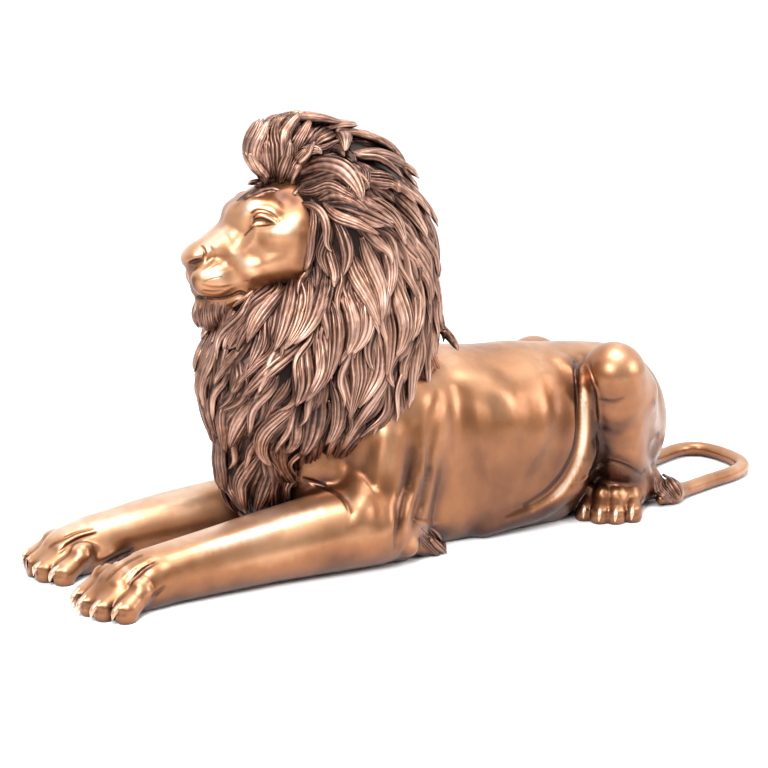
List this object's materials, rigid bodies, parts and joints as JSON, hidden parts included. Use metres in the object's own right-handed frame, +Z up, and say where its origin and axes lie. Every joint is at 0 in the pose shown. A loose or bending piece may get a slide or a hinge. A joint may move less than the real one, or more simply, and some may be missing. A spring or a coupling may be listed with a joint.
{
  "type": "lion statue",
  "caption": "Bronze lion lying with its head raised and forelegs stretched out, with a full carved mane and a tail bent round beside the rump.",
  "frame": {"origin": "on the flat underside, beneath the middle of the belly", "axes": "+Z up, -X the way the lion faces, -Y its left side"},
  "size_m": [2.2952, 0.5921, 1.2015],
  "materials": {
    "bronze": "golden-brown bronze patina, dark in the recesses and burnished on the high forms"
  },
  "bodies": {
    "root": {"lion": "bronze"}
  },
  "joints": []
}
